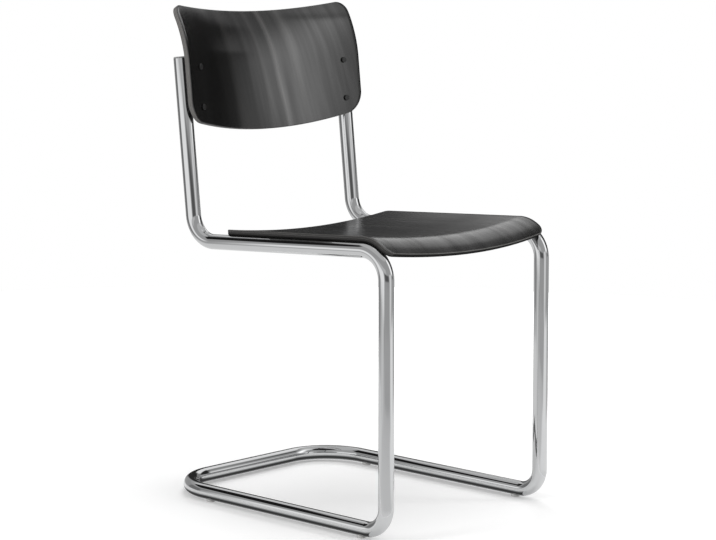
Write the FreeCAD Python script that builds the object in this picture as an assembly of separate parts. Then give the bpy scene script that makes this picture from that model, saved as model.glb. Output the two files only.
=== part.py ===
import FreeCAD, Part
import math
import os

from FreeCAD import Placement, Rotation, Vector

# Cantilever dining chair: one bent steel tube carries a moulded plywood seat and backrest.
# Front is -Y, the sitter's left is +X, up is +Z, and the floor is z = 0.
# Lengths are in millimetres and angles in degrees.

# Frame tube
tube_diameter = 25.0
tube_wall = 2.0
side_spacing = 395.0          # between the axes of the two side frames
frame_depth = 518.0           # front of the legs to the back of the floor crossbar
rail_rear_height = 438.0      # rail axis where it meets the upright axis
rail_front_height = 462.5     # rail axis where it meets the leg axis
rail_reach = 421.5            # leg corner to upright corner, measured along Y
leg_lean = 8.5                # how far the top of a leg stands behind its foot
upright_length = 305.0        # seat corner to the open end of the tube
upright_tilt = 6.9
seat_bend_radius = 46.0
foot_bend_radius = 40.0
floor_corner_radius = 90.0

# Glides and end caps
glide_height = 3.0
glide_diameter = 15.0
glide_rim_radius = 0.8
glide_stem_diameter = 7.8
glide_stem_length = 6.0
glide_bend_margin = 4.0       # glide edge to the nearest bend
cap_thickness = 2.0
cap_rim_radius = 0.8
cap_plug_length = 12.0

# Seat shell
ply_thickness = 9.0
ply_edge_radius = 1.5
seat_width = 402.0
seat_rear_gap = 76.0          # back edge of the seat to the upright corner, along the rail
seat_dish = 12.5              # how far the middle lies below the sides
lip_bow = 15.0                # how far the lip bows forward in the middle
lip_angle = 51.0
seat_front_corner_radius = 16.0
seat_rear_corner_radius = 8.0

# Backrest shell
back_width = 424.0
back_plan_radius = 798.0      # radius of the hollow front face
back_bottom = 200.0           # lower corners, measured up along the upright
back_straight_end = 291.0     # the shell is parallel to the upright up to here
back_top = 385.5              # top edge, measured along the shell
back_lean_radius = 190.0      # radius of the part that leans back
back_belly = 23.0             # how far the lower edge bows down in the middle
back_lower_corner_radius = 32.0
back_upper_corner_radius = 20.0

# Seat fittings
tab_length = 34.0
tab_thickness = 3.0
tab_front_inset = 62.0        # end of the front bend to the front screws
tab_rear_inset = 45.0         # back edge of the seat to the rear screws
seat_screw_inset = 22.0       # screw axis inboard of the rail axis
seat_pad_thickness = 2.0

# Backrest fittings
bracket_thickness = 3.0
bracket_overlap = 5.0         # plate beyond the line where it touches the upright
back_pad_thickness = 2.5
back_screw_inset = 18.5       # screw axis inboard of the upright axis
lower_fixing = 221.0          # up along the upright
upper_fixing = 288.0

# Fasteners
plate_edge = 9.0              # plate beyond a screw axis
plate_corner_radius = 4.0
pad_diameter = 14.0
screw_diameter = 4.8
screw_head_diameter = 9.0
screw_head_height = 3.0
screw_rim_radius = 1.0
socket_width = 3.0            # across flats
socket_depth = 1.8
insert_diameter = 8.0
insert_length = 6.5
sleeve_diameter = 7.0
sleeve_head_diameter = 10.0
sleeve_head_height = 2.0
sleeve_rim_radius = 1.4

# Clearances
shell_clearance = 0.3         # seat shell to the rail, where they come closest
weld_gap = 0.2                # plates to the tube wall
hole_clearance = 0.3          # added to the diameter of a hole round its fastener
thread_clearance = 0.2        # added to the diameter of a bore round the screw in it
face_clearance = 0.2          # pads and heads to the shells
plug_clearance = 0.4          # added to the diameter of a bore round a plug
end_clearance = 1.0           # ends of screws and sleeves to the bottom of what they enter

tube_radius = tube_diameter / 2
bore_radius = tube_radius - tube_wall
half_spacing = side_spacing / 2
runner_height = glide_height + tube_radius
seat_half = seat_width / 2
back_half = back_width / 2

# Angles through which the tube turns, and how far each bend reaches from its corner
rail_slope = math.degrees(math.atan2(rail_rear_height - rail_front_height, rail_reach))
rail_length = math.hypot(rail_reach, rail_rear_height - rail_front_height)
leg_tilt = math.degrees(math.atan2(leg_lean, rail_front_height - runner_height))
front_turn = 90.0 - rail_slope - leg_tilt
foot_turn = 90.0 + leg_tilt


def bend_reach(radius, turn):
    """Distance from a corner to the start of its bend."""
    return radius * math.tan(math.radians(turn) / 2)


front_reach = bend_reach(seat_bend_radius, front_turn)
foot_reach = bend_reach(foot_bend_radius, foot_turn)

# Underside of the seat, in the plane of the rails: level with the rail axis at z = 0
dish_slope = math.atan(2 * seat_dish * half_spacing / seat_half ** 2)
lip_radius = seat_bend_radius + tube_radius + shell_clearance
seat_side_height = (tube_radius + shell_clearance) / math.cos(dish_slope)
seat_middle_height = seat_side_height - seat_dish * (half_spacing / seat_half) ** 2
seat_rear = rail_length - seat_rear_gap

# How far the middle of the lip stands in front of the feet
lip_arm = Vector(0, 0, lip_radius + ply_thickness)
lip_edge = Rotation(Vector(1, 0, 0), lip_angle).multVec(lip_arm)
lip_edge = lip_edge + Vector(0, front_reach - lip_bow, seat_middle_height - lip_radius)
lip_edge = Rotation(Vector(1, 0, 0), rail_slope).multVec(lip_edge)
lip_overhang = max(0.0, -lip_edge.y - leg_lean - tube_radius)

# Corner points of one side frame, in the plane of its axis
foot_y = (lip_overhang - frame_depth) / 2 + tube_radius
rear_y = (lip_overhang + frame_depth) / 2 - tube_radius
foot_corner = Vector(0, foot_y, runner_height)
front_corner = Vector(0, foot_y + leg_lean, rail_front_height)
rear_corner = Vector(0, front_corner.y + rail_reach, rail_rear_height)
floor_corner = Vector(0, rear_y, runner_height)

# Local frames: in one Y runs back along the rail, in the other Z runs up the upright
rail_place = Placement(front_corner, Rotation(Vector(1, 0, 0), rail_slope))
upright_place = Placement(rear_corner, Rotation(Vector(1, 0, 0), -upright_tilt))
upright_end = upright_place.multVec(Vector(0, 0, upright_length))

# Backrest, seen from above: its hollow is centred on x = 0, in front of the uprights
back_rear_radius = back_plan_radius + ply_thickness
fixing_angle = math.asin((half_spacing - back_screw_inset) / back_rear_radius)
fitting_depth = face_clearance + back_pad_thickness + bracket_thickness + weld_gap + tube_radius
back_centre_y = half_spacing * math.sin(fixing_angle) - back_rear_radius - fitting_depth
back_centre_y = back_centre_y / math.cos(fixing_angle)

sides = {"right": -1, "left": 1}


def save(name, shape):
    shape.exportStep("parts/" + name + ".step")


def disc(diameter, height, base=0.0):
    """Round bar that stands on z = base."""
    return Part.makeCylinder(diameter / 2, height, Vector(0, 0, base))


def placed(shape, place):
    moved = shape.copy()
    moved.Placement = place.multiply(moved.Placement)
    return moved


def sharp_edges(shape):
    found = []
    for edge in shape.Edges:
        middle = edge.valueAt((edge.FirstParameter + edge.LastParameter) / 2)
        faces = shape.ancestorsOfType(edge, Part.Face)
        normals = [face.normalAt(*face.Surface.parameter(middle)) for face in faces]
        if len(normals) == 2 and normals[0].getAngle(normals[1]) > math.radians(45):
            found.append(edge)
    return found


def corner_edges(shell):
    """The straight edges that run through the thickness of a plywood blank."""
    return [edge for edge in sharp_edges(shell) if abs(edge.Length / ply_thickness - 1) < 0.02]


def eased(shell, axis, low_radius, high_radius):
    """Round the low and high corners of a blank along an axis, then ease its edges on both faces."""
    corners = sorted(corner_edges(shell), key=lambda edge: edge.CenterOfMass.dot(axis))
    shell = shell.makeFillet(low_radius, corners[:2])
    shell = shell.makeFillet(high_radius, corner_edges(shell))
    return shell.makeFillet(ply_edge_radius, sharp_edges(shell))


def on_side(point, side):
    return Vector(side * half_spacing, point.y, point.z)


# Frame tube
def rounded_path(corners, radii):
    """Straight runs through the corners, joined by tangent arcs."""
    edges = []
    start = corners[0]
    for before, corner, after, radius in zip(corners, corners[1:], corners[2:], radii):
        to_before = (before - corner).normalize()
        to_after = (after - corner).normalize()
        half_angle = to_before.getAngle(to_after) / 2
        reach = radius / math.tan(half_angle)
        inward = (to_before + to_after).normalize()
        arc_start = corner + to_before * reach
        arc_end = corner + to_after * reach
        arc_middle = corner + inward * (radius / math.sin(half_angle) - radius)
        edges.append(Part.LineSegment(start, arc_start).toShape())
        edges.append(Part.Arc(arc_start, arc_middle, arc_end).toShape())
        start = arc_end
    edges.append(Part.LineSegment(start, corners[-1]).toShape())
    return Part.Wire(edges)


def frame_path():
    """Axis of the whole tube, from the open end of one upright to the other."""
    corners = [upright_end, rear_corner, front_corner, foot_corner, floor_corner]
    bends = [seat_bend_radius, seat_bend_radius, foot_bend_radius, floor_corner_radius]
    right = [on_side(corner, -1) for corner in corners]
    left = [on_side(corner, 1) for corner in reversed(corners)]
    return rounded_path(right + left, bends + bends[::-1])


def swept_round(path, radius):
    start = path.OrderedEdges[0]
    point = start.valueAt(start.FirstParameter)
    direction = start.tangentAt(start.FirstParameter)
    circle = Part.Wire(Part.Circle(point, direction, radius).toShape())
    return path.makePipeShell([circle], True, False)


def frame_tube():
    path = frame_path()
    tube = swept_round(path, tube_radius).cut(swept_round(path, bore_radius))
    stem_hole = disc(glide_stem_diameter + hole_clearance, runner_height)
    for place in glide_places().values():
        tube = tube.cut(placed(stem_hole, place))
    return tube


# Glides and end caps
def glide_places():
    spacing = glide_bend_margin + glide_diameter / 2
    rows = {
        "front": foot_y + foot_reach + spacing,
        "rear": rear_y - floor_corner_radius - spacing,
    }
    return {
        row + "_" + name: Placement(Vector(side * half_spacing, y, 0), Rotation())
        for row, y in rows.items()
        for name, side in sides.items()
    }


def glide():
    """Plastic button that snaps into the underside of a runner."""
    button = disc(glide_diameter, runner_height)
    runner = Part.makeCylinder(
        tube_radius + shell_clearance,
        2 * glide_diameter,
        Vector(0, -glide_diameter, runner_height),
        Vector(0, 1, 0),
    )
    button = button.cut(runner)
    rim = min(button.Edges, key=lambda edge: edge.BoundBox.ZMax)
    button = button.makeFillet(glide_rim_radius, [rim])
    saddle_depth = glide_height - shell_clearance - glide_rim_radius
    stem_height = glide_height + glide_stem_length - saddle_depth
    stem = disc(glide_stem_diameter, stem_height, saddle_depth)
    return button.fuse(stem).removeSplitter()


def end_cap():
    """Disc on the open end of an upright, with a plug into the bore."""
    flange = disc(tube_diameter, cap_thickness)
    rim = max(flange.Edges, key=lambda edge: edge.BoundBox.ZMin)
    flange = flange.makeFillet(cap_rim_radius, [rim])
    plug = disc(2 * bore_radius - plug_clearance, cap_plug_length, -cap_plug_length)
    return flange.fuse(plug)


# Seat shell, in the plane of the rails
def seat_rise(x):
    """Height of the underside over its lowest line."""
    return seat_dish * (x / seat_half) ** 2


def seat_section(x):
    """Outline of the shell on one lengthwise plane."""
    under = seat_middle_height + seat_rise(x)
    bow = lip_bow * (1 - (x / seat_half) ** 2)
    bend_centre = Vector(x, front_reach - bow, under - lip_radius)

    def on_bend(radius, share):
        turn = Rotation(Vector(1, 0, 0), share * lip_angle)
        return bend_centre + turn.multVec(Vector(0, 0, radius))

    inner = [on_bend(lip_radius, share) for share in (0, 0.5, 1)]
    outer = [on_bend(lip_radius + ply_thickness, share) for share in (1, 0.5, 0)]
    rear_under = Vector(x, seat_rear, under)
    rear_top = Vector(x, seat_rear, under + ply_thickness)
    return Part.Wire([
        Part.LineSegment(rear_under, inner[0]).toShape(),
        Part.Arc(*inner).toShape(),
        Part.LineSegment(inner[-1], outer[0]).toShape(),
        Part.Arc(*outer).toShape(),
        Part.LineSegment(outer[-1], rear_top).toShape(),
        Part.LineSegment(rear_top, rear_under).toShape(),
    ])


def seat_shell():
    sections = [seat_section(seat_half * share / 4) for share in range(-4, 5)]
    shell = Part.makeLoft(sections, True, False)
    shell = eased(shell, Vector(0, 1, 0), seat_front_corner_radius, seat_rear_corner_radius)
    shell = placed(shell, rail_place)
    depth = insert_length + end_clearance
    pocket = disc(insert_diameter + hole_clearance, depth, -depth)
    for place in seat_fixings().values():
        shell = shell.cut(placed(pocket, place))
    return shell


# Backrest shell, in the plane of the uprights
def back_section():
    """Hollow cross section of the shell: a sector of a thick ring."""
    half_angle = math.asin(back_half / back_rear_radius)

    def on_arc(radius, share):
        angle = share * half_angle
        return Vector(radius * math.sin(angle), back_centre_y + radius * math.cos(angle), 0)

    front = [on_arc(back_plan_radius, share) for share in (-1, 0, 1)]
    rear = [on_arc(back_rear_radius, share) for share in (1, 0, -1)]
    return Part.Face(Part.Wire([
        Part.Arc(*front).toShape(),
        Part.LineSegment(front[-1], rear[0]).toShape(),
        Part.Arc(*rear).toShape(),
        Part.LineSegment(rear[-1], front[0]).toShape(),
    ]))


def below_belly():
    """Everything under the bowed lower edge of the backrest."""
    outside = back_half + back_lower_corner_radius
    lowest = back_bottom - back_belly - back_lower_corner_radius
    left_end = Vector(back_half, 0, back_bottom)
    right_end = Vector(-back_half, 0, back_bottom)
    left_out = Vector(outside, 0, back_bottom)
    right_out = Vector(-outside, 0, back_bottom)
    left_low = Vector(outside, 0, lowest)
    right_low = Vector(-outside, 0, lowest)
    outline = Part.Wire([
        Part.Arc(right_end, Vector(0, 0, back_bottom - back_belly), left_end).toShape(),
        Part.makePolygon([left_end, left_out, left_low, right_low, right_out, right_end]),
    ])
    area = Part.Face(outline)
    area.translate(Vector(0, -back_half, 0))
    return area.extrude(Vector(0, back_width, 0))


def backrest_shell():
    section = back_section()
    lowest = back_bottom - back_belly
    straight = section.copy()
    straight.translate(Vector(0, 0, lowest))
    straight = straight.extrude(Vector(0, 0, back_straight_end - lowest))
    section.translate(Vector(0, 0, back_straight_end))
    lean_centre = Vector(0, back_centre_y + back_plan_radius + back_lean_radius, back_straight_end)
    lean_angle = math.degrees((back_top - back_straight_end) / back_lean_radius)
    leaning = section.revolve(lean_centre, Vector(-1, 0, 0), lean_angle)
    shell = straight.fuse(leaning).removeSplitter().cut(below_belly())
    shell = eased(shell, Vector(0, 0, 1), back_lower_corner_radius, back_upper_corner_radius)
    shell = placed(shell, upright_place)
    hole = disc(sleeve_diameter + hole_clearance, 3 * ply_thickness, -2 * ply_thickness)
    for place in back_fixings().values():
        shell = shell.cut(placed(hole, place))
    return shell


# Places of the fittings: Z points out of the shell, from its face into the metal
def seat_fixings():
    rows = {
        "front": front_reach + tab_front_inset,
        "rear": seat_rear - tab_rear_inset,
    }
    fixings = {}
    for row, y in rows.items():
        for name, side in sides.items():
            x = side * (half_spacing - seat_screw_inset)
            slope = math.degrees(math.atan(2 * seat_dish * x / seat_half ** 2))
            turn = Rotation(Vector(0, 1, 0), -slope).multiply(Rotation(Vector(1, 0, 0), 180))
            height = seat_middle_height + seat_rise(x)
            fixings[row + "_" + name] = rail_place.multiply(Placement(Vector(x, y, height), turn))
    return fixings


def back_place(side, height):
    x = back_rear_radius * math.sin(fixing_angle)
    y = back_centre_y + back_rear_radius * math.cos(fixing_angle)
    outward = Rotation(Vector(0, 0, 1), -side * math.degrees(fixing_angle))
    turn = outward.multiply(Rotation(Vector(1, 0, 0), -90))
    return upright_place.multiply(Placement(Vector(side * x, y, height), turn))


def back_fixings():
    rows = {"lower": lower_fixing, "upper": upper_fixing}
    return {
        row + "_" + name: back_place(side, height)
        for row, height in rows.items()
        for name, side in sides.items()
    }


# Fittings, each modelled at its place's origin
def plate(inner, outer, length, thickness, base):
    """Flat plate from x = inner to x = outer, with rounded corners."""
    blank = Part.makeBox(abs(outer - inner), length, thickness)
    blank.translate(Vector(min(inner, outer), -length / 2, base))
    upright_edges = [edge for edge in blank.Edges if edge.BoundBox.ZLength > thickness / 2]
    return blank.makeFillet(plate_corner_radius, upright_edges)


def seat_tab(side, place):
    """Plate welded to the inner side of a rail, drilled for the seat screw."""
    base = face_clearance + seat_pad_thickness
    blank = plate(-side * plate_edge, side * seat_screw_inset, tab_length, tab_thickness, base)
    blank = blank.cut(disc(screw_diameter + hole_clearance, base + tab_thickness))
    rail = Part.makeCylinder(tube_radius + weld_gap, rail_length, Vector(side * half_spacing, 0, 0),
                             Vector(0, 1, 0))
    return placed(blank, place).cut(placed(rail, rail_place))


def back_bracket(side):
    """Plate welded to the front of an upright, drilled for both screws."""
    base = face_clearance + back_pad_thickness
    spacing = upper_fixing - lower_fixing
    touch = half_spacing * math.cos(fixing_angle) + back_centre_y * math.sin(fixing_angle)
    outer = side * (touch + bracket_overlap)
    blank = plate(-side * plate_edge, outer, spacing + 2 * plate_edge, bracket_thickness, base)
    hole = disc(screw_diameter + hole_clearance, base + bracket_thickness)
    for share in (-0.5, 0.5):
        drill = hole.copy()
        drill.translate(Vector(0, share * spacing, 0))
        blank = blank.cut(drill)
    return placed(blank, back_place(side, (lower_fixing + upper_fixing) / 2))


def pad(thickness):
    """Soft washer between a plate and a shell."""
    ring = disc(pad_diameter, thickness, face_clearance)
    return ring.cut(disc(screw_diameter + hole_clearance, thickness + face_clearance))


def screw(grip, entry):
    """Socket screw seated at the end of its grip, with its tip inside the shell."""
    head = disc(screw_head_diameter, screw_head_height, grip)
    rim = max(head.Edges, key=lambda edge: edge.BoundBox.ZMin)
    head = head.makeFillet(screw_rim_radius, [rim])
    corner_radius = socket_width / math.sqrt(3)
    corners = [
        Vector(
            corner_radius * math.cos(math.radians(60 * corner)),
            corner_radius * math.sin(math.radians(60 * corner)),
            grip + screw_head_height - socket_depth,
        )
        for corner in range(7)
    ]
    socket = Part.Face(Part.makePolygon(corners)).extrude(Vector(0, 0, screw_head_height))
    shank = disc(screw_diameter, grip + entry, -entry)
    return head.cut(socket).fuse(shank)


def seat_insert():
    """Threaded insert, flush with the underside of the seat."""
    body = disc(insert_diameter, insert_length, -insert_length)
    return body.cut(disc(screw_diameter + thread_clearance, insert_length, -insert_length))


def back_sleeve():
    """Sleeve nut through the backrest, with a low round head on the front face."""
    seat = -ply_thickness - face_clearance
    head = disc(sleeve_head_diameter, sleeve_head_height, seat - sleeve_head_height)
    rim = min(head.Edges, key=lambda edge: edge.BoundBox.ZMax)
    head = head.makeFillet(sleeve_rim_radius, [rim])
    barrel = disc(sleeve_diameter, ply_thickness + face_clearance - end_clearance, seat)
    bore = disc(screw_diameter + thread_clearance, -seat, seat)
    return head.fuse(barrel).cut(bore)


def build_frame():
    save("frame_tube", frame_tube())
    for name, place in glide_places().items():
        save("glide_" + name, placed(glide(), place))
    for name, side in sides.items():
        top = Placement(on_side(upright_end, side), upright_place.Rotation)
        save("end_cap_" + name, placed(end_cap(), top))
        save("back_bracket_" + name, back_bracket(side))


def build_seat():
    save("seat_shell", seat_shell())
    grip = face_clearance + seat_pad_thickness + tab_thickness
    for name, place in seat_fixings().items():
        side = sides[name.split("_")[1]]
        save("seat_tab_" + name, seat_tab(side, place))
        save("seat_pad_" + name, placed(pad(seat_pad_thickness), place))
        save("seat_insert_" + name, placed(seat_insert(), place))
        save("seat_screw_" + name, placed(screw(grip, insert_length - end_clearance), place))


def build_backrest():
    save("backrest_shell", backrest_shell())
    grip = face_clearance + back_pad_thickness + bracket_thickness
    for name, place in back_fixings().items():
        save("back_pad_" + name, placed(pad(back_pad_thickness), place))
        save("back_sleeve_" + name, placed(back_sleeve(), place))
        save("back_screw_" + name, placed(screw(grip, ply_thickness - end_clearance), place))


os.makedirs("parts", exist_ok=True)
build_frame()
build_seat()
build_backrest()
print("tube axis length", round(frame_path().Length, 1))
print("seat lip in front of the feet", round(lip_overhang, 1))
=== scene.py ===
import math

import bpy
from mathutils import Matrix, Vector


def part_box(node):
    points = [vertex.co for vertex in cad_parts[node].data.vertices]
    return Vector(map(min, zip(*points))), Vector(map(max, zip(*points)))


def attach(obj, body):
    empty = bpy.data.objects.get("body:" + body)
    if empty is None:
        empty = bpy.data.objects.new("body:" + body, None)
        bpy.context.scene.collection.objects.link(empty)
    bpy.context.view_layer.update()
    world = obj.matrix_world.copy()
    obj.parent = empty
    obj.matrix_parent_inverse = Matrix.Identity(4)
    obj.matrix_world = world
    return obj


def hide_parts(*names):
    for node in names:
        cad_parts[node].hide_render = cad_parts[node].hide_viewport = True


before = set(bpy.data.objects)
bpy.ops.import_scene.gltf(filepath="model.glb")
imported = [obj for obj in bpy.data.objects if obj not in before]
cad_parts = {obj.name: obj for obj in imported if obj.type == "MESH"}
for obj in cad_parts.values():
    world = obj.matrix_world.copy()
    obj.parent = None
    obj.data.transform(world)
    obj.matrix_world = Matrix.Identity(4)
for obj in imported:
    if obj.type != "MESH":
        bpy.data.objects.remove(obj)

# Cantilever chair: bent chrome tube, black-stained plywood seat and backrest.
# Metres throughout, front is -Y, the sitter's left is +X.

scene = bpy.context.scene
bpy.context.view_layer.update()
print("frame loaded:", len(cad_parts), "nodes")


# Small helpers for meshes
def addMesh(name, points, faces, attributes=None):
    mesh = bpy.data.meshes.new(name)
    mesh.from_pydata([tuple(p) for p in points], [], faces)
    mesh.validate()
    mesh.polygons.foreach_set("use_smooth", [True] * len(mesh.polygons))
    for key, values in (attributes or {}).items():
        mesh.attributes.new(key, "FLOAT", "POINT").data.foreach_set("value", values)
    mesh.update()
    piece = bpy.data.objects.new(name, mesh)
    scene.collection.objects.link(piece)
    return piece


def stitch(ringA, ringB, closed=True):
    count = len(ringA)
    last = count if closed else count - 1
    return [
        (ringA[i], ringA[(i + 1) % count], ringB[(i + 1) % count], ringB[i])
        for i in range(last)
    ]


def quarterTurns(steps):
    return [math.pi / 2 * i / steps for i in range(steps + 1)]


def finishPiece(piece, slotName, material, *nodes):
    piece.data.materials.append(material)
    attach(piece, "root")
    if nodes:
        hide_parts(*nodes)


def turnX(point, degrees):
    return Matrix.Rotation(math.radians(degrees), 3, "X") @ point


def outward(azimuth, elevation):
    # azimuth 0 is the front, 90 the sitter's left
    a, e = math.radians(azimuth), math.radians(elevation)
    return Vector((math.sin(a) * math.cos(e), -math.cos(a) * math.cos(e), math.sin(e)))


# Small helpers for materials
class Nodes:
    # the nodes of a tree, whose links are made as they are added
    def __init__(self, tree):
        self.nodes = tree.nodes
        self.links = tree.links

    def plug(self, socket, value):
        if isinstance(value, bpy.types.NodeSocket):
            self.links.new(value, socket)
        else:
            socket.default_value = value

    def add(self, kind, values=None, **settings):
        made = self.nodes.new("ShaderNode" + kind)
        for key, value in settings.items():
            setattr(made, key, value)
        for key, value in (values or {}).items():
            self.plug(made.inputs[key], value)
        return made

    def noise(self, vector, scale, detail=2.0, roughness=0.5, distortion=0.0):
        made = self.add("TexNoise", {"Vector": vector, "Scale": scale, "Detail": detail,
                                     "Roughness": roughness, "Distortion": distortion})
        return made.outputs[0]

    def remap(self, value, low, high, toLow, toHigh):
        made = self.add("MapRange", {0: value, 1: low, 2: high, 3: toLow, 4: toHigh})
        return made.outputs[0]

    def math(self, operation, first, second=0.0):
        return self.add("Math", {0: first, 1: second}, operation=operation).outputs[0]

    def plus(self, first, second):
        return self.math("ADD", first, second)

    def minus(self, first, second):
        return self.math("SUBTRACT", first, second)

    def times(self, first, second):
        return self.math("MULTIPLY", first, second)

    def bump(self, strength, height, pattern):
        made = self.add("Bump", {"Strength": strength, "Distance": height, "Height": pattern})
        return made.outputs[0]

    def blend(self, factor, colourA, colourB):
        # sockets 6, 7 and output 2 are the Mix node's colour ones
        made = self.add("Mix", {0: factor, 6: colourA, 7: colourB}, data_type="RGBA")
        return made.outputs[2]


class Shader(Nodes):
    # a new material with its surface shader, called its skin
    def __init__(self, name):
        self.material = bpy.data.materials.new(name)
        self.material.use_nodes = True
        super().__init__(self.material.node_tree)
        self.nodes.clear()
        self.output = self.add("OutputMaterial")
        self.skin = self.add("BsdfPrincipled")
        self.surface(self.skin)

    def surface(self, node):
        self.links.new(node.outputs[0], self.output.inputs["Surface"])

    def set(self, **values):
        # Base_Color stands for the socket Base Color
        for key, value in values.items():
            self.plug(self.skin.inputs[key.replace("_", " ")], value)


def grey(level, warm=0.0):
    return (level * (1 + warm), level, level * (1 - warm), 1.0)


# Chrome, also used on the plates that are plated with the tube
def makeChrome(name, settings):
    chrome = Shader(name)
    place = chrome.add("TexCoord").outputs["Object"]
    smudges = chrome.noise(place, settings["smudgeScale"], detail=4.0, roughness=0.6)
    polish = chrome.noise(place, settings["polishScale"], detail=2.0)
    chrome.set(
        Base_Color=chrome.blend(smudges, settings["tint"], settings["tintWorn"]),
        Metallic=1.0,
        Roughness=chrome.remap(smudges, *settings["smudgeRange"], settings["smooth"], settings["dull"]),
        Normal=chrome.bump(settings["bump"], settings["bumpHeight"], polish),
    )
    return chrome.material


tubeChrome = makeChrome("tube chrome", {
    "tint": (0.575, 0.58, 0.585, 1), "tintWorn": (0.54, 0.545, 0.55, 1),
    "smooth": 0.02, "dull": 0.06, "smudgeScale": 22.0, "smudgeRange": (0.35, 0.75),
    "polishScale": 900.0, "bump": 0.02, "bumpHeight": 0.0001,
})
plateChrome = makeChrome("plate chrome", {
    "tint": (0.56, 0.565, 0.57, 1), "tintWorn": (0.48, 0.48, 0.49, 1),
    "smooth": 0.10, "dull": 0.22, "smudgeScale": 60.0, "smudgeRange": (0.35, 0.75),
    "polishScale": 1400.0, "bump": 0.08, "bumpHeight": 0.0001,
})


# Black-stained veneer on both faces, the plies showing on the cut edge
veneerWork = {
    # patterns of the wood: stretch along the grain, place in the noise, detail, roughness, distortion
    "band": (0.10, 0.0, 3.0, 0.5, 0.15),
    "streak": (0.06, 5.0, 2.0, 0.6, 0.0),
    "fibre": (0.03, 3.0, 4.0, 0.65, 0.0),
    "pore": (0.05, 7.0, 2.0, 0.7, 0.0),
    # the part of each pattern that counts, and how much it does
    "stainRange": (0.35, 0.68), "fibreRange": (0.45, 0.75), "poreRange": (0.60, 0.72),
    "sheenRange": (0.3, 0.7), "polishRange": (0.35, 0.70),
    "fibreShare": 0.5, "poreShare": 0.7, "poreDull": 0.12, "figurePolish": 0.3,
    "fibreRelief": 0.4, "reliefHeight": 0.00025,
    # the edge: places on it are shares of the ply from its back, 0, to its face, 1
    "plyCount": 7.0, "glueStart": 0.86, "speckScale": 600.0, "speckShare": 0.5,
    "rim": (0.03, 0.97), "cutEdge": (0.015, 0.90), "shadeRange": (0.10, 0.65),
    "edgeHighlightRange": (0.88, 0.94), "edgeHighlightEnd": 0.985,
}


def makeVeneer(name, settings):
    veneer = Shader(name)

    def attribute(key):
        return veneer.add("Attribute", attribute_name=key).outputs["Fac"]

    def ramp(value, key, low=0.0, high=1.0):
        return veneer.remap(value, *veneerWork[key], low, high)

    along, across, depth = attribute("along"), attribute("across"), attribute("depth")
    sideways = veneer.plus(across, veneer.times(along, settings["grainLean"]))

    def pattern(key):
        stretch, place, detail, roughness, distortion = veneerWork[key]
        spot = veneer.add("CombineXYZ", {0: sideways, 1: veneer.times(along, stretch), 2: place})
        return veneer.noise(spot.outputs[0], settings[key + "Scale"], detail, roughness, distortion)

    bands, streaks, fibres = pattern("band"), pattern("streak"), pattern("fibre")
    pores = ramp(pattern("pore"), "poreRange")
    # light lines of the figure, which wander with the bands' swing about 0.5
    wander = veneer.times(veneer.minus(bands, 0.5), settings["figureWander"])
    drifting = veneer.plus(sideways, wander)
    figure = 0.0
    for place, width, strength in settings["figure"]:
        away = veneer.math("ABSOLUTE", veneer.minus(drifting, place))
        figure = veneer.plus(veneer.remap(away, 0.0, width, strength, 0.0), figure)
    stain = veneer.blend(ramp(bands, "stainRange"), settings["stainDark"], settings["stainLight"])
    stain = veneer.blend(figure, stain, settings["figureColour"])
    fibreMark = veneer.times(ramp(fibres, "fibreRange"), veneerWork["fibreShare"])
    stain = veneer.blend(fibreMark, stain, settings["fibreColour"])
    stain = veneer.blend(veneer.times(pores, veneerWork["poreShare"]), stain, settings["poreColour"])

    # the plies on the cut edge, between the two faces
    layer = veneer.times(depth, veneerWork["plyCount"])
    glue = veneer.math("GREATER_THAN", veneer.math("FRACT", layer), veneerWork["glueStart"])
    alternate = veneer.math("MODULO", veneer.math("FLOOR", layer), 2.0)
    plies = veneer.blend(alternate, settings["edgeLong"], settings["edgeEnd"])
    plies = veneer.blend(glue, plies, settings["glueColour"])
    # they take up stain in specks; the darkening toward the back of the ply and along the grain's end
    # edges is painted shade
    speck = veneer.noise(veneer.add("TexCoord").outputs["Object"], veneerWork["speckScale"], detail=3.0)
    for stainAndShade in (veneer.times(speck, veneerWork["speckShare"]),
                   ramp(depth, "shadeRange", settings["edgeShade"], 0.0),
                   veneer.times(attribute("endwise"), settings["endShade"])):
        plies = veneer.blend(stainAndShade, plies, settings["stainDark"])
    edgeLow, edgeHigh = veneerWork["cutEdge"]
    onEdge = veneer.times(veneer.math("GREATER_THAN", depth, edgeLow),
                          veneer.math("LESS_THAN", depth, edgeHigh))
    # a painted highlight along the eased edge of the face
    worn = veneer.times(ramp(depth, "edgeHighlightRange"),
                        veneer.math("LESS_THAN", depth, veneerWork["edgeHighlightEnd"]))
    stain = veneer.blend(worn, stain, settings["edgeHighlightColour"])

    sheen = ramp(bands, "sheenRange", settings["roughLow"], settings["roughHigh"])
    sheen = veneer.plus(sheen, veneer.times(pores, veneerWork["poreDull"]))
    sheen = veneer.plus(sheen, veneer.times(onEdge, settings["edgeDull"]))
    relief = veneer.minus(veneer.times(fibres, veneerWork["fibreRelief"]), pores)
    # the lacquer is thicker in streaks and on the figure, and the cut edge has none
    lacquer = ramp(streaks, "polishRange", settings["lacquerThin"], settings["lacquerThick"])
    lacquer = veneer.plus(lacquer, veneer.times(figure, veneerWork["figurePolish"]))
    if "rubbed" in settings:
        # a sitter rubs it thinner along one band
        rubPlace, rubWidth, rubLeft = settings["rubbed"]
        fromRub = veneer.math("ABSOLUTE", veneer.minus(along, rubPlace))
        lacquer = veneer.times(lacquer, veneer.remap(fromRub, 0.0, rubWidth, rubLeft, 1.0))
    veneer.set(
        Base_Color=veneer.blend(onEdge, stain, plies),
        Roughness=sheen,
        Normal=veneer.bump(settings["relief"], veneerWork["reliefHeight"], relief),
        Specular_IOR_Level=settings["gloss"],
        Coat_Weight=veneer.times(lacquer, veneer.minus(1.0, onEdge)),
        Coat_Roughness=settings["lacquerRough"],
        Coat_IOR=settings["lacquerIndex"],
    )
    return veneer.material


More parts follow.
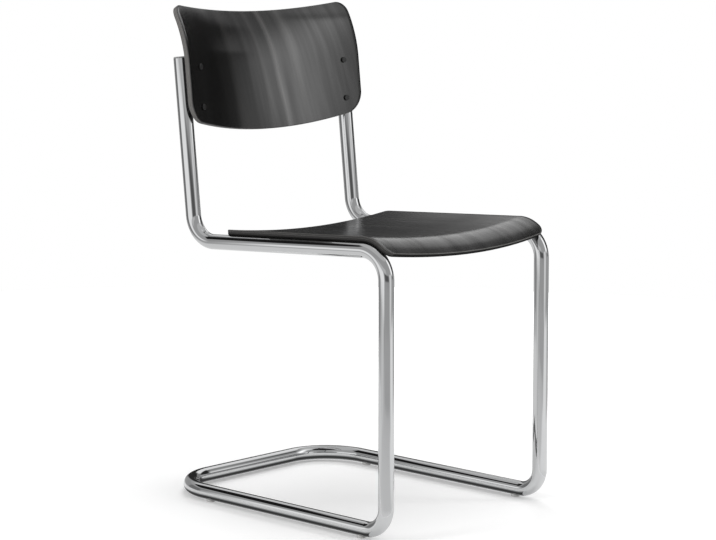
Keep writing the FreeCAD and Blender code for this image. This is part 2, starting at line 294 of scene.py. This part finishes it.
# figure: place across, half width and strength of each line
backVeneer = makeVeneer("back veneer", {
    "stainDark": grey(0.0015, 0.04), "stainLight": grey(0.005, 0.03),
    "fibreColour": grey(0.013, 0.05), "poreColour": grey(0.0015),
    "edgeLong": grey(0.28, 0.03), "edgeEnd": grey(0.19, 0.03), "glueColour": grey(0.06),
    "edgeShade": 0.0, "endShade": 0.0,
    # painted highlight along the eased edge of the face
    "edgeHighlightColour": grey(0.02, 0.04),
    "figure": [(0.086, 0.010, 0.9), (0.131, 0.014, 0.5), (0.050, 0.009, 0.3), (-0.02, 0.016, 0.3)],
    "figureColour": grey(0.045, 0.03), "figureWander": 0.012,
    "grainLean": 0.21, "bandScale": 30.0, "streakScale": 60.0, "fibreScale": 420.0, "poreScale": 900.0,
    "roughLow": 0.28, "roughHigh": 0.40, "relief": 0.20, "edgeDull": 0.25, "gloss": 0.04,
    "lacquerThin": 0.60, "lacquerThick": 0.86, "lacquerRough": 0.14, "lacquerIndex": 1.91,
})
# rubbed: place along, half width and the share of lacquer left
seatVeneer = makeVeneer("seat veneer", {
    "stainDark": grey(0.003, 0.04), "stainLight": grey(0.010, 0.03),
    "fibreColour": grey(0.016, 0.05), "poreColour": grey(0.002),
    "edgeLong": grey(0.12, 0.02), "edgeEnd": grey(0.075, 0.02), "glueColour": grey(0.030),
    # painted shade: the cut edge darker toward the back of the ply and along its end edges
    "edgeShade": 0.88, "endShade": 0.85,
    # painted highlight along the eased edge of the face
    "edgeHighlightColour": grey(0.09, 0.04),
    "figure": [(-0.06, 0.02, 0.25), (0.05, 0.015, 0.3), (0.12, 0.02, 0.25)],
    "figureColour": grey(0.025, 0.03), "figureWander": 0.012,
    "grainLean": 0.03, "bandScale": 30.0, "streakScale": 70.0, "fibreScale": 420.0, "poreScale": 900.0,
    "roughLow": 0.30, "roughHigh": 0.40, "relief": 0.25, "edgeDull": 0.40, "gloss": 0.04,
    "lacquerThin": 0.62, "lacquerThick": 0.95, "lacquerRough": 0.21, "lacquerIndex": 1.62,
    "rubbed": (0.21, 0.11, 0.45),
})


# Moulded, painted and rubber finishes of the small fittings
mouldedWork = {"mottleShare": 0.15, "skinRange": (0.3, 0.7), "roughSpread": 0.06, "reliefHeight": 0.0002}


def makeMoulded(name, settings):
    plain = Shader(name)
    place = plain.add("TexCoord").outputs["Object"]
    mottle = plain.noise(place, settings["grain"] * mouldedWork["mottleShare"], detail=3.0)
    skin = plain.noise(place, settings["grain"], detail=2.0)
    rough, spread = settings["rough"], mouldedWork["roughSpread"]
    plain.set(
        Base_Color=plain.blend(mottle, settings["colour"], settings["worn"]),
        Roughness=plain.remap(skin, *mouldedWork["skinRange"], rough - spread, rough + spread),
        Normal=plain.bump(settings["relief"], mouldedWork["reliefHeight"], skin),
    )
    return plain.material


glidePlastic = makeMoulded("glide plastic", {
    "colour": grey(0.66, 0.01), "worn": grey(0.58, 0.01), "rough": 0.45, "grain": 900.0, "relief": 0.3,
})
capPlastic = makeMoulded("cap plastic", {
    "colour": grey(0.34), "worn": grey(0.28), "rough": 0.35, "grain": 1100.0, "relief": 0.2,
})
padRubber = makeMoulded("pad rubber", {
    "colour": grey(0.022), "worn": grey(0.035), "rough": 0.75, "grain": 1500.0, "relief": 0.5,
})
blackFinish = makeMoulded("black finish", {
    "colour": grey(0.005), "worn": grey(0.009), "rough": 0.34, "grain": 2200.0, "relief": 0.2,
})


# Zinc plate on the threaded inserts
def makeZinc(name, settings):
    zinc = Shader(name)
    cloud = zinc.noise(zinc.add("TexCoord").outputs["Object"], settings["cloudScale"], detail=4.0)
    zinc.set(
        Base_Color=zinc.blend(cloud, settings["yellowish"], settings["greyish"]),
        Metallic=1.0,
        Roughness=zinc.remap(cloud, *settings["cloudRange"], settings["smooth"], settings["dull"]),
    )
    return zinc.material


zincPlate = makeZinc("zinc plate", {
    "yellowish": (0.55, 0.52, 0.42, 1), "greyish": (0.42, 0.42, 0.40, 1),
    "cloudScale": 350.0, "cloudRange": (0.3, 0.7), "smooth": 0.28, "dull": 0.45,
})
print("materials made")


# Frame tube: one closed pipe along a path of straight runs and arcs
frameTube = {
    "radius": 0.0125, "wall": 0.002,
    "railRear": 0.438, "railFront": 0.4625, "railReach": 0.4215, "legLean": 0.0085,
    "uprightLength": 0.305, "uprightTilt": 6.9,
    "seatBend": 0.046, "footBend": 0.040, "floorCorner": 0.090,
    "rimBevel": 0.0003, "rimSupport": 0.0009,
    "sides": 96, "arcStep": 2.5, "runStep": 0.03,
}
tubeLow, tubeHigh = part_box("frame_tube")
halfSpacing = tubeHigh.x - frameTube["radius"]
footY = tubeLow.y + frameTube["radius"]
rearY = tubeHigh.y - frameTube["radius"]
runnerZ = tubeLow.z + frameTube["radius"]
railSlope = math.degrees(math.atan2(
    frameTube["railRear"] - frameTube["railFront"], frameTube["railReach"]))
railLength = math.hypot(frameTube["railReach"], frameTube["railRear"] - frameTube["railFront"])
frontCorner = Vector((0, footY + frameTube["legLean"], frameTube["railFront"]))
rearCorner = Vector((0, frontCorner.y + frameTube["railReach"], frameTube["railRear"]))


def fromRail(x, y, z):
    # Y runs back along the rail, Z stands square to it
    return frontCorner + turnX(Vector((x, y, z)), railSlope)


def fromUpright(x, y, z):
    # Z runs up the upright, Y points out of its back
    return rearCorner + turnX(Vector((x, y, z)), -frameTube["uprightTilt"])


def tubePath():
    # corners with their bends, from an upright's open end to the crossbar, then the other side
    oneSide = [
        (fromUpright(0, 0, frameTube["uprightLength"]), 0),
        (rearCorner, frameTube["seatBend"]),
        (frontCorner, frameTube["seatBend"]),
        (Vector((0, footY, runnerZ)), frameTube["footBend"]),
        (Vector((0, rearY, runnerZ)), frameTube["floorCorner"]),
    ]
    shift = Vector((halfSpacing, 0, 0))
    corners = [(point - shift, bend) for point, bend in oneSide]
    corners += [(point + shift, bend) for point, bend in reversed(oneSide)]
    points = [corners[0][0]]

    def straightTo(end):
        # the points between the last one and the end of a straight run
        run = end - points[-1]
        pieces = round(run.length / frameTube["runStep"])
        return [points[-1] + run * i / pieces for i in range(1, pieces)]

    for (before, _), (corner, bend), (after, _) in zip(corners, corners[1:], corners[2:]):
        toBefore, toAfter = (before - corner).normalized(), (after - corner).normalized()
        half = toBefore.angle(toAfter) / 2
        start = corner + toBefore * (bend / math.tan(half))
        centre = corner + (toBefore + toAfter).normalized() * (bend / math.sin(half))
        axis = toBefore.cross(toAfter).normalized()
        turn = math.pi - 2 * half
        points += straightTo(start)
        steps = round(math.degrees(turn) / frameTube["arcStep"])
        arm = start - centre
        for i in range(steps + 1):
            points.append(centre + Matrix.Rotation(-turn * i / steps, 3, axis) @ arm)
    end = corners[-1][0]
    return points + straightTo(end) + [end]


def alongPath(path):
    # the direction of the path at each of its points
    last = len(path) - 1
    return [(path[min(i + 1, last)] - path[max(i - 1, 0)]).normalized() for i in range(last + 1)]


def makeFrameTube():
    path = tubePath()
    tangents = alongPath(path)
    sides, outer = frameTube["sides"], frameTube["radius"]
    bore = outer - frameTube["wall"]
    rim, support = frameTube["rimBevel"], frameTube["rimSupport"]
    points, faces = [], []
    side = Vector((1, 0, 0))
    frames = []
    for tangent in tangents:
        side = (side - tangent * side.dot(tangent)).normalized()
        frames.append((side.copy(), tangent.cross(side)))

    def ring(index, radius, shift=0.0):
        first = len(points)
        u, v = frames[index]
        for k in range(sides):
            a = 2 * math.pi * k / sides
            points.append(path[index] + tangents[index] * shift
                          + (u * math.cos(a) + v * math.sin(a)) * radius)
        return list(range(first, first + sides))

    # outside from end to end, then back through the bore, the outer rims with a small bevel
    # and a ring close behind it, which keeps the shading of the straight run true
    last = len(path) - 1
    rings = [ring(0, outer - rim), ring(0, outer, rim), ring(0, outer, support)]
    rings += [ring(i, outer) for i in range(1, last)]
    rings += [ring(last, outer, -support), ring(last, outer, -rim), ring(last, outer - rim)]
    rings += [ring(i, bore) for i in range(last, -1, -1)]
    for a, b in zip(rings, rings[1:] + rings[:1]):
        faces += stitch(a, b)
    tube = addMesh("chromeTube", points, faces)
    finishPiece(tube, "frame_chrome", tubeChrome, "frame_tube")


makeFrameTube()
print("frame tube made")


# A plywood shell: two smooth faces joined round a rim with eased edges
def makeShell(name, grid, place, settings):
    # grid(inset) gives rows of (across, along), place(across, along, level) gives points
    points, faces = [], []
    # what the veneer reads: the spot on the sheet, the depth in the ply, the grain's ends
    marks = {"across": [], "along": [], "depth": [], "endwise": []}
    ease, thick = settings["ease"], settings["thick"]
    rounds, bands = settings["rounds"], settings["bands"]

    def addPoint(spot, level, depth, endwise):
        points.append(place(*spot, level))
        for key, value in zip(marks, (*spot, depth, endwise)):
            marks[key].append(value)
        return len(points) - 1

    def face(level):
        return [[addPoint(spot, level, level / thick, 0.0) for spot in row] for row in grid(ease)]

    def rimOf(rows):
        left = [row[0] for row in rows]
        right = [row[-1] for row in rows]
        return rows[0] + right[1:] + rows[-1][-2::-1] + left[-2:0:-1]

    def rimLoop(inset, level):
        # endwise is 1 along the first and last row, where the edge cuts the grain's ends
        rows = grid(inset)
        ends, sides = [1.0] * len(rows[0]), [0.0] * (len(rows) - 2)
        rimLow, rimHigh = veneerWork["rim"]
        depth = min(max(level / thick, rimLow), rimHigh)
        return [addPoint(spot, level, depth, endwise)
                for spot, endwise in zip(rimOf(rows), ends + sides + ends + sides)]

    back, front = face(0.0), face(thick)
    for rows, flip in ((back, True), (front, False)):
        for a, b in zip(rows, rows[1:]):
            for i in range(len(a) - 1):
                quad = (a[i], a[i + 1], b[i + 1], b[i])
                faces.append(quad[::-1] if flip else quad)
    # round the back's eased edge, up the cut edge and round the front's: inset, level
    turns = quarterTurns(rounds)
    steps = [(ease * (1 - math.sin(turn)), ease * (1 - math.cos(turn))) for turn in turns[1:]]
    steps += [(0.0, ease + (thick - 2 * ease) * i / bands) for i in range(1, bands)]
    steps += [(ease * (1 - math.cos(turn)), thick - ease * (1 - math.sin(turn))) for turn in turns[:-1]]
    loops = [rimOf(back)] + [rimLoop(inset, level) for inset, level in steps] + [rimOf(front)]
    for a, b in zip(loops, loops[1:]):
        faces += [quad[::-1] for quad in stitch(a, b)]
    return addMesh(name, points, faces, marks)


def roundedRows(half, start, end, startRadius, endRadius, settings):
    # rows over a rectangle with round corners, whose start and end may vary with across
    rows, columns = settings["rows"], settings["columns"]
    # each row's share of the way from start to end, its shift from there, how much narrower it is
    turns = quarterTurns(settings["arcSteps"])
    stations = [(0.0, startRadius * (1 - math.cos(turn)), startRadius * (1 - math.sin(turn)))
                for turn in turns]
    for i in range(1, rows):
        share = i / rows
        stations.append((share, startRadius * (1 - share) - endRadius * share, 0.0))
    stations += [(1.0, -endRadius * (1 - math.cos(turn)), endRadius * (1 - math.sin(turn)))
                 for turn in reversed(turns)]
    made = []
    for share, shift, narrower in stations:
        width = half - narrower
        row = []
        for k in range(columns + 1):
            across = width * (2 * k / columns - 1)
            first, last = start(across), end(across)
            row.append((across, first + (last - first) * share + shift))
        made.append(row)
    return made


# Seat: lies right on the rails, dished across, its lip wrapped over the front bends
seat = {
    "thick": 0.009, "ease": 0.0015,
    "rounds": 4, "bands": 7,  # strips over an eased edge and over the cut edge
    "half": 0.201, "frontCorner": 0.016, "rearCorner": 0.008,
    "dish": 0.0125, "bow": 0.015, "lipAngle": 51.0,
    "rearGap": 0.076,  # from the rail's rear corner to the back edge
    "columns": 72, "rows": 90, "arcSteps": 10,
}
legTilt = math.degrees(math.atan2(frameTube["legLean"], frameTube["railFront"] - runnerZ))
# how far the front bend reaches back along the rail
frontReach = frameTube["seatBend"] * math.tan(math.radians(90 - railSlope - legTilt) / 2)
seatRear = railLength - seat["rearGap"]
lipRadius = frameTube["seatBend"] + frameTube["radius"]
dishSlope = math.atan(2 * seat["dish"] * halfSpacing / seat["half"] ** 2)
seatSide = frameTube["radius"] / math.cos(dishSlope)
seatMiddle = seatSide - seat["dish"] * (halfSpacing / seat["half"]) ** 2
lipLength = (lipRadius + seat["thick"] / 2) * math.radians(seat["lipAngle"])


def seatBendStart(across):
    # distance from the back edge to where the lip starts to curl
    return seatRear - frontReach + seat["bow"] * (1 - (across / seat["half"]) ** 2)


def seatPoint(across, along, level):
    under = seatMiddle + seat["dish"] * (across / seat["half"]) ** 2
    flat = seatBendStart(across)
    if along <= flat:
        return fromRail(across, seatRear - along, under + level)
    turn = (along - flat) / (lipRadius + seat["thick"] / 2)
    radius = lipRadius + level
    return fromRail(across, seatRear - flat - radius * math.sin(turn),
                    under - lipRadius + radius * math.cos(turn))


def seatGrid(inset):
    return roundedRows(
        seat["half"] - inset,
        lambda across: inset, lambda across: seatBendStart(across) + lipLength - inset,
        seat["rearCorner"] - inset, seat["frontCorner"] - inset, seat)


seatShell = makeShell("seatShell", seatGrid, seatPoint, seat)
finishPiece(seatShell, "seat_veneer", seatVeneer, "seat_shell")
print("seat shell made")


# Backrest: a shallow hollow between the uprights, its top leaning back
backrest = {
    "thick": 0.009, "ease": 0.0015,
    "rounds": 4, "bands": 7,  # strips over an eased edge and over the cut edge
    "half": 0.212, "planRadius": 0.798, "bottom": 0.200, "straightEnd": 0.291,
    "top": 0.38549, "leanRadius": 0.190, "belly": 0.023,
    "lowerCorner": 0.032, "upperCorner": 0.020,
    "fixingInset": 0.0185, "fittingDepth": 0.0184,
    "columns": 84, "rows": 60, "arcSteps": 12,
}
# the hollow is an arc about a line in front of it, the lean an arc about a line behind
backRearRadius = backrest["planRadius"] + backrest["thick"]
fixingAngle = math.asin((halfSpacing - backrest["fixingInset"]) / backRearRadius)
backCentreY = (halfSpacing * math.sin(fixingAngle) - backRearRadius
               - backrest["fittingDepth"]) / math.cos(fixingAngle)
leanCentreY = backCentreY + backrest["planRadius"] + backrest["leanRadius"]
backHalfAngle = math.asin(backrest["half"] / backRearRadius)


def backPoint(across, along, level):
    # across is measured round the middle of the ply, level from the back face to the front
    turn = across / (backRearRadius - backrest["thick"] / 2)
    radius = backRearRadius - level
    x, y = radius * math.sin(turn), backCentreY + radius * math.cos(turn)
    if along <= backrest["straightEnd"]:
        return fromUpright(x, y, along)
    lean = (along - backrest["straightEnd"]) / backrest["leanRadius"]
    arm = leanCentreY - y
    return fromUpright(x, leanCentreY - arm * math.cos(lean),
                       backrest["straightEnd"] + arm * math.sin(lean))


def backGrid(inset):
    half = backHalfAngle * (backRearRadius - backrest["thick"] / 2)

    def lowerEdge(across):
        return backrest["bottom"] - backrest["belly"] * (1 - (across / half) ** 2) + inset

    return roundedRows(
        half - inset, lowerEdge, lambda across: backrest["top"] - inset,
        backrest["lowerCorner"] - inset, backrest["upperCorner"] - inset, backrest)


backShell = makeShell("backShell", backGrid, backPoint, backrest)
finishPiece(backShell, "back_veneer", backVeneer, "backrest_shell")
print("backrest shell made")


# Weld beads where the plates meet the tube
weld = {
    "radius": 0.0019, "sides": 16, "step": 0.0004, "ripple": 0.0023, "rippleDepth": 0.09,
    "offset": 0.0007,  # from a bead's middle to the tube's surface and the bracket's face
    "gap": 0.0002, "searchStep": 0.00005,
    "screwInset": 0.022, "tabFace": 0.0053, "tabBead": 0.026,
    "tabFromBend": 0.062, "tabFromRear": 0.045,
    "lowerFixing": 0.221, "upperFixing": 0.288, "bracketBead": 0.062,
}


def makeBead(name, start, end):
    # a rippled bead with rounded ends
    line = end - start
    direction = line.normalized()
    u = direction.orthogonal().normalized()
    v = direction.cross(u)
    count = round(line.length / weld["step"])
    points, faces, rings = [], [], []
    for i in range(1, count):
        travelled = line.length * i / count
        toEnd = min(travelled, line.length - travelled, weld["radius"])
        roundness = math.sqrt(1 - (1 - toEnd / weld["radius"]) ** 2)
        ripple = 1 + weld["rippleDepth"] * math.cos(2 * math.pi * travelled / weld["ripple"])
        rings.append(list(range(len(points), len(points) + weld["sides"])))
        for k in range(weld["sides"]):
            a = 2 * math.pi * k / weld["sides"]
            points.append(start + direction * travelled
                          + (u * math.cos(a) + v * math.sin(a)) * weld["radius"] * roundness * ripple)
    for a, b in zip(rings, rings[1:]):
        faces += stitch(a, b)
    first, last = len(points), len(points) + 1
    points += [start, end]
    for k in range(weld["sides"]):
        after = (k + 1) % weld["sides"]
        faces.append((rings[0][after], rings[0][k], first))
        faces.append((rings[-1][k], rings[-1][after], last))
    bead = addMesh(name, points, faces)
    finishPiece(bead, "plate_chrome", plateChrome)


def makeTabBeads():
    # the lower face of a tab meets the round of the rail along a line
    for sideName, side in (("Right", -1), ("Left", 1)):
        fixingX = halfSpacing - weld["screwInset"]
        slope = math.atan(2 * seat["dish"] * fixingX / seat["half"] ** 2)
        under = seatMiddle + seat["dish"] * (fixingX / seat["half"]) ** 2
        faceX = fixingX + weld["tabFace"] * math.sin(slope)
        faceZ = under - weld["tabFace"] * math.cos(slope)
        reach = frameTube["radius"] + weld["offset"]
        # walk along the face until the bead's middle is just outside the tube
        away = 0.0
        while math.hypot(faceX + away * math.cos(slope) - halfSpacing,
                         faceZ + away * math.sin(slope)) > reach:
            away += weld["searchStep"]
        x = side * (faceX + away * math.cos(slope))
        z = faceZ + away * math.sin(slope)
        for row, y in (("Front", frontReach + weld["tabFromBend"]),
                       ("Rear", seatRear - weld["tabFromRear"])):
            start, end = y - weld["tabBead"] / 2, y + weld["tabBead"] / 2
            makeBead("tabWeld" + row + sideName, fromRail(x, start, z), fromRail(x, end, z))


def makeBracketBeads():
    # inboard of the line where the plate touches the upright
    height = frameTube["radius"] + weld["gap"] - weld["offset"]
    inboard = math.sqrt((frameTube["radius"] + weld["offset"]) ** 2 - height ** 2)
    middle = (weld["lowerFixing"] + weld["upperFixing"]) / 2
    for sideName, side in (("Right", -1), ("Left", 1)):
        x = halfSpacing - inboard * math.cos(fixingAngle) - height * math.sin(fixingAngle)
        y = inboard * math.sin(fixingAngle) - height * math.cos(fixingAngle)
        start, end = middle - weld["bracketBead"] / 2, middle + weld["bracketBead"] / 2
        makeBead("bracketWeld" + sideName, fromUpright(side * x, y, start), fromUpright(side * x, y, end))


makeTabBeads()
makeBracketBeads()
print("weld beads made")


# CAD pieces that keep their shape
fittings = {
    "seat_tab": plateChrome, "back_bracket": plateChrome, "glide": glidePlastic, "end_cap": capPlastic,
    "seat_pad": padRubber, "back_pad": padRubber, "seat_insert": zincPlate,
    "back_sleeve": blackFinish, "seat_screw": blackFinish, "back_screw": blackFinish,
}
for prefix, material in fittings.items():
    for name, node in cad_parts.items():
        if name.startswith(prefix):
            node.data.materials.clear()
            node.data.materials.append(material)
print("fittings dressed")


# Studio: pale floor, white surroundings and soft lights
studio = {
    "floorSize": 2.4, "floorSides": 96, "floorColour": grey(0.86), "floorRough": 0.9,
    # the glow is low up to fadeStart, which leaves the shadow, and plain white from fadeEnd
    "floorGlow": 0.20, "fadeStart": 0.7, "fadeEnd": 1.9,
    "ambient": 0.50,  # the world's light, which is white where it is seen
    "lightAim": Vector((0, 0, 0.45)),
    # azimuth, elevation, distance, width and height, power
    "softboxes": {
        "overheadSoftbox": (20, 78, 2.1, (1.6, 1.6), 21),
        "rightSoftbox": (42, 14, 2.2, (0.5, 1.3), 11),
        "leftSoftbox": (-100, 18, 2.2, (0.5, 1.5), 13),
        "farSoftbox": (130, 30, 2.2, (1.2, 0.5), 13),
    },
}


def seenRays(tree):
    # camera, mirror and glass rays see the plain white background
    path = tree.add("LightPath")
    seen = path.outputs["Is Camera Ray"]
    for key in ("Is Glossy Ray", "Is Transmission Ray"):
        seen = tree.math("MAXIMUM", seen, path.outputs[key])
    return seen


def makeFloor():
    size, sides = studio["floorSize"], studio["floorSides"]
    points = [(0, 0, 0)]
    for k in range(sides):
        a = 2 * math.pi * k / sides
        points.append((size * math.cos(a), size * math.sin(a), 0))
    faces = [(0, 1 + k, 1 + (k + 1) % sides) for k in range(sides)]
    floor = addMesh("studioFloor", points, faces)
    paint = Shader("pale floor")
    paint.set(Base_Color=studio["floorColour"], Roughness=studio["floorRough"], Specular_IOR_Level=0.0)
    away = paint.add("VectorMath", {0: paint.add("TexCoord").outputs["Object"]}, operation="LENGTH")
    level = paint.remap(away.outputs["Value"], studio["fadeStart"], studio["fadeEnd"],
                        studio["floorGlow"], 1.0)
    glow = paint.add("Emission", {"Color": grey(1.0), "Strength": paint.times(seenRays(paint), level)})
    paint.surface(paint.add("AddShader", {0: paint.skin.outputs[0], 1: glow.outputs[0]}))
    floor.data.materials.append(paint.material)


def makeSurroundings():
    world = bpy.data.worlds.new("studio")
    scene.world = world
    world.use_nodes = True
    sky = Nodes(world.node_tree)
    background = sky.nodes["Background"]
    sky.plug(background.inputs["Color"], grey(1.0))
    sky.plug(background.inputs["Strength"],
             sky.remap(seenRays(sky), 0.0, 1.0, studio["ambient"], 1.0))


def makeLight(name, azimuth, elevation, distance, size, power):
    lamp = bpy.data.lights.new(name, "AREA")
    lamp.shape = "RECTANGLE"
    lamp.size, lamp.size_y = size
    lamp.energy = power
    light = bpy.data.objects.new(name, lamp)
    scene.collection.objects.link(light)
    away = outward(azimuth, elevation)
    light.location = studio["lightAim"] + away * distance
    light.rotation_mode = "QUATERNION"
    light.rotation_quaternion = away.to_track_quat("Z", "Y")
    light.visible_glossy = False


# Grey tent round the chair, which only mirror rays see: it draws the lines in the chrome
tent = {
    "radius": 2.45, "height": 3.0, "columns": 180, "rows": 60,
    "wall": 0.50, "roof": 0.68,  # levels where no panel lies
    "roofRows": 8, "skirtRows": 40, "skirtLift": 0.002,
    # the skirt lies on the floor: distance from the middle of the chair, level
    "skirt": [(0.40, 0.97), (0.52, 0.83), (0.95, 0.79), (2.45, 0.50)],
    # azimuth from and to, height from and to, level, softness in degrees and metres;
    # on the floor and the roof it is the distance from the middle instead of the height
    "panels": [
        (150, 215, 0.0, 1.1, 0.42, 8, 0.2),
        (116, 152, 0.0, 1.30, 0.03, 6, 0.5),
        (-132, -73, 0.0, 0.82, 1.25, 5, 0.3),
        (-170, -137, 0.0, 1.1, 0.24, 3, 0.2),
        (-62, -15, 0.25, 0.84, 0.14, 8, 0.2),
        (-95, -40, 0.90, 1.40, 0.72, 10, 0.15),
        (-4, 22, 0.0, 0.95, 1.00, 8, 0.2),
        (44, 58, 0.36, 0.62, 0.12, 5, 0.12),
        (30, 50, 0.82, 2.9, 1.90, 22, 0.3),
        (58, 98, 0.58, 1.35, 0.03, 10, 0.14),
        (98, 116, 0.0, 0.85, 0.30, 6, 0.2),
        (66, 98, 1.15, 2.2, 0.03, 14, 0.3),
        (66, 90, 2.3, 3.0, 0.40, 8, 0.2),
        (98, 130, 1.05, 2.3, 1.15, 6, 0.3),
        (90, 130, 2.25, 2.75, 1.15, 6, 0.15),
        (-184, -138, 1.54, 2.95, 0.015, 5, 0.15),
        (140, 174, 1.50, 3.0, 0.85, 8, 0.25),
    ],
    "floorPanels": [
        (-215, -98, 0.45, 1.30, 0.95, 24, 0.2),
        (-6, 85, 0.45, 1.15, 1.12, 18, 0.3),
        (-64, -4, 1.50, 2.7, 0.56, 10, 0.2),
        (4, 44, 1.0, 2.7, 1.15, 8, 0.2),
        (45, 72, 1.1, 2.6, 0.75, 6, 0.2),
        (72, 112, 1.1, 2.6, 0.30, 6, 0.2),
        (-115, -80, 1.1, 2.6, 0.85, 6, 0.2),
        (-165, -140, 1.7, 2.6, 0.32, 6, 0.2),
    ],
    "roofPanels": [
        (25, 62, 1.5, 2.7, 1.15, 20, 0.7),
    ],
    # shade on the floor beside the runners: distance from the middle of the tube, level
    "contactShade": [(-0.032, 0.95), (-0.022, 0.35), (-0.016, 0.06), (-0.009, 0.06), (0.0, 0.40),
                     (0.009, 0.06), (0.016, 0.06), (0.022, 0.35), (0.032, 0.95)],
    "shadeLift": 0.0005,  # off the floor
    "shadeRise": 0.001,  # it ends where the tube rises this far above the runners
}


def soften(value, low, high, soft):
    # 1 between low and high, fading to 0 over the softness at both ends
    rise = min(max((value - low) / soft + 0.5, 0.0), 1.0)
    fall = min(max((high - value) / soft + 0.5, 0.0), 1.0)
    share = min(rise, fall)
    return share * share * (3 - 2 * share)


def tentLevel(panels, base, azimuth, distance):
    level = base
    for fromAz, toAz, low, high, panelLevel, softAz, softness in panels:
        middle = (fromAz + toAz) / 2
        turn = (azimuth - middle + 180) % 360 - 180
        mask = (soften(turn, fromAz - middle, toAz - middle, softAz)
                * soften(distance, low, high, softness))
        level += (panelLevel - level) * mask
    return level


def skirtLevel(radius):
    # between the listed distances the level runs straight, and at the end it is the wall's
    for (near, nearLevel), (far, farLevel) in zip(tent["skirt"], tent["skirt"][1:]):
        if radius <= far:
            return nearLevel + (farLevel - nearLevel) * (radius - near) / (far - near)
    return tent["wall"]


def hangCloth(name, points, faces, levels):
    cloth = addMesh(name, points, faces, {"level": levels})
    sheet = Shader(name + " cloth")
    level = sheet.add("Attribute", attribute_name="level").outputs["Fac"]
    glow = sheet.add("Emission", {"Color": grey(1.0), "Strength": level})
    sheet.surface(glow)
    cloth.data.materials.append(sheet.material)
    for ray in ("camera", "diffuse", "shadow", "transmission"):
        setattr(cloth, "visible_" + ray, False)


def makeTent():
    points, levels, rings = [], [], []

    def ring(radius, z, panels, base, distance):
        rings.append(range(len(points), len(points) + tent["columns"]))
        for k in range(tent["columns"]):
            azimuth = 360 * k / tent["columns"]
            a = math.radians(azimuth)
            points.append((radius * math.sin(a), -radius * math.cos(a), z))
            levels.append(tentLevel(panels, base, azimuth, distance))

    skirtStart = tent["skirt"][0][0]
    for i in range(tent["skirtRows"] + 1):
        radius = skirtStart + (tent["radius"] - skirtStart) * i / tent["skirtRows"]
        ring(radius, tent["skirtLift"], tent["floorPanels"], skirtLevel(radius), radius)
    for i in range(1, tent["rows"] + 1):
        z = tent["height"] * i / tent["rows"]
        ring(tent["radius"], z, tent["panels"], tent["wall"], z)
    for i in range(1, tent["roofRows"] + 1):
        radius = tent["radius"] * (1 - i / (tent["roofRows"] + 1))
        ring(radius, tent["height"], tent["roofPanels"], tent["roof"], radius)
    faces = []
    for a, b in zip(rings, rings[1:]):
        faces += stitch(a, b)
    hangCloth("mirrorTent", points, faces, levels)


def makeContactShade():
    path = [point for point in tubePath() if point.z < runnerZ + tent["shadeRise"]]
    points, levels = [], []
    for point, tangent in zip(path, alongPath(path)):
        side = tangent.cross(Vector((0, 0, 1)))
        for offset, level in tent["contactShade"]:
            place = point + side * offset
            points.append((place.x, place.y, tent["shadeLift"]))
            levels.append(level)
    count = len(tent["contactShade"])
    faces = []
    for i in range(len(path) - 1):
        faces += stitch([i * count + k for k in range(count)],
                        [(i + 1) * count + k for k in range(count)], closed=False)
    hangCloth("contactShade", points, faces, levels)


makeFloor()
makeSurroundings()
for name, settings in studio["softboxes"].items():
    makeLight(name, *settings)
makeTent()
makeContactShade()
print("studio made")


# Camera matched to the photograph: the focal length and the axis are in its pixels
view = {
    "place": Vector((-2.9703, -2.6455, 0.9582)),
    "azimuth": -48.10, "elevation": 7.86, "roll": 0.76,
    "focal": 2392.0, "axisX": 348.0, "axisY": 258.0, "width": 716.0, "height": 540.0,
    "sensor": 36.0, "nearest": 0.1, "farthest": 50.0,
}


def makeCamera():
    lens = bpy.data.cameras.new("chairCamera")
    camera = bpy.data.objects.new("chairCamera", lens)
    scene.collection.objects.link(camera)
    lens.sensor_fit = "HORIZONTAL"
    lens.sensor_width = view["sensor"]
    lens.lens = view["focal"] * view["sensor"] / view["width"]
    lens.shift_x = (view["width"] / 2 - view["axisX"]) / view["width"]
    lens.shift_y = (view["axisY"] - view["height"] / 2) / view["width"]
    lens.clip_start, lens.clip_end = view["nearest"], view["farthest"]
    back = outward(view["azimuth"], view["elevation"])
    right = (-back).cross(Vector((0, 0, 1))).normalized()
    up = right.cross(-back)
    roll = Matrix.Rotation(math.radians(view["roll"]), 3, back)
    right, up = roll @ right, roll @ up
    camera.matrix_world = Matrix((
        (right.x, up.x, back.x, view["place"].x),
        (right.y, up.y, back.y, view["place"].y),
        (right.z, up.z, back.z, view["place"].z),
        (0, 0, 0, 1),
    ))
    scene.camera = camera


makeCamera()
scene.view_settings.view_transform = "Standard"
print("camera set")
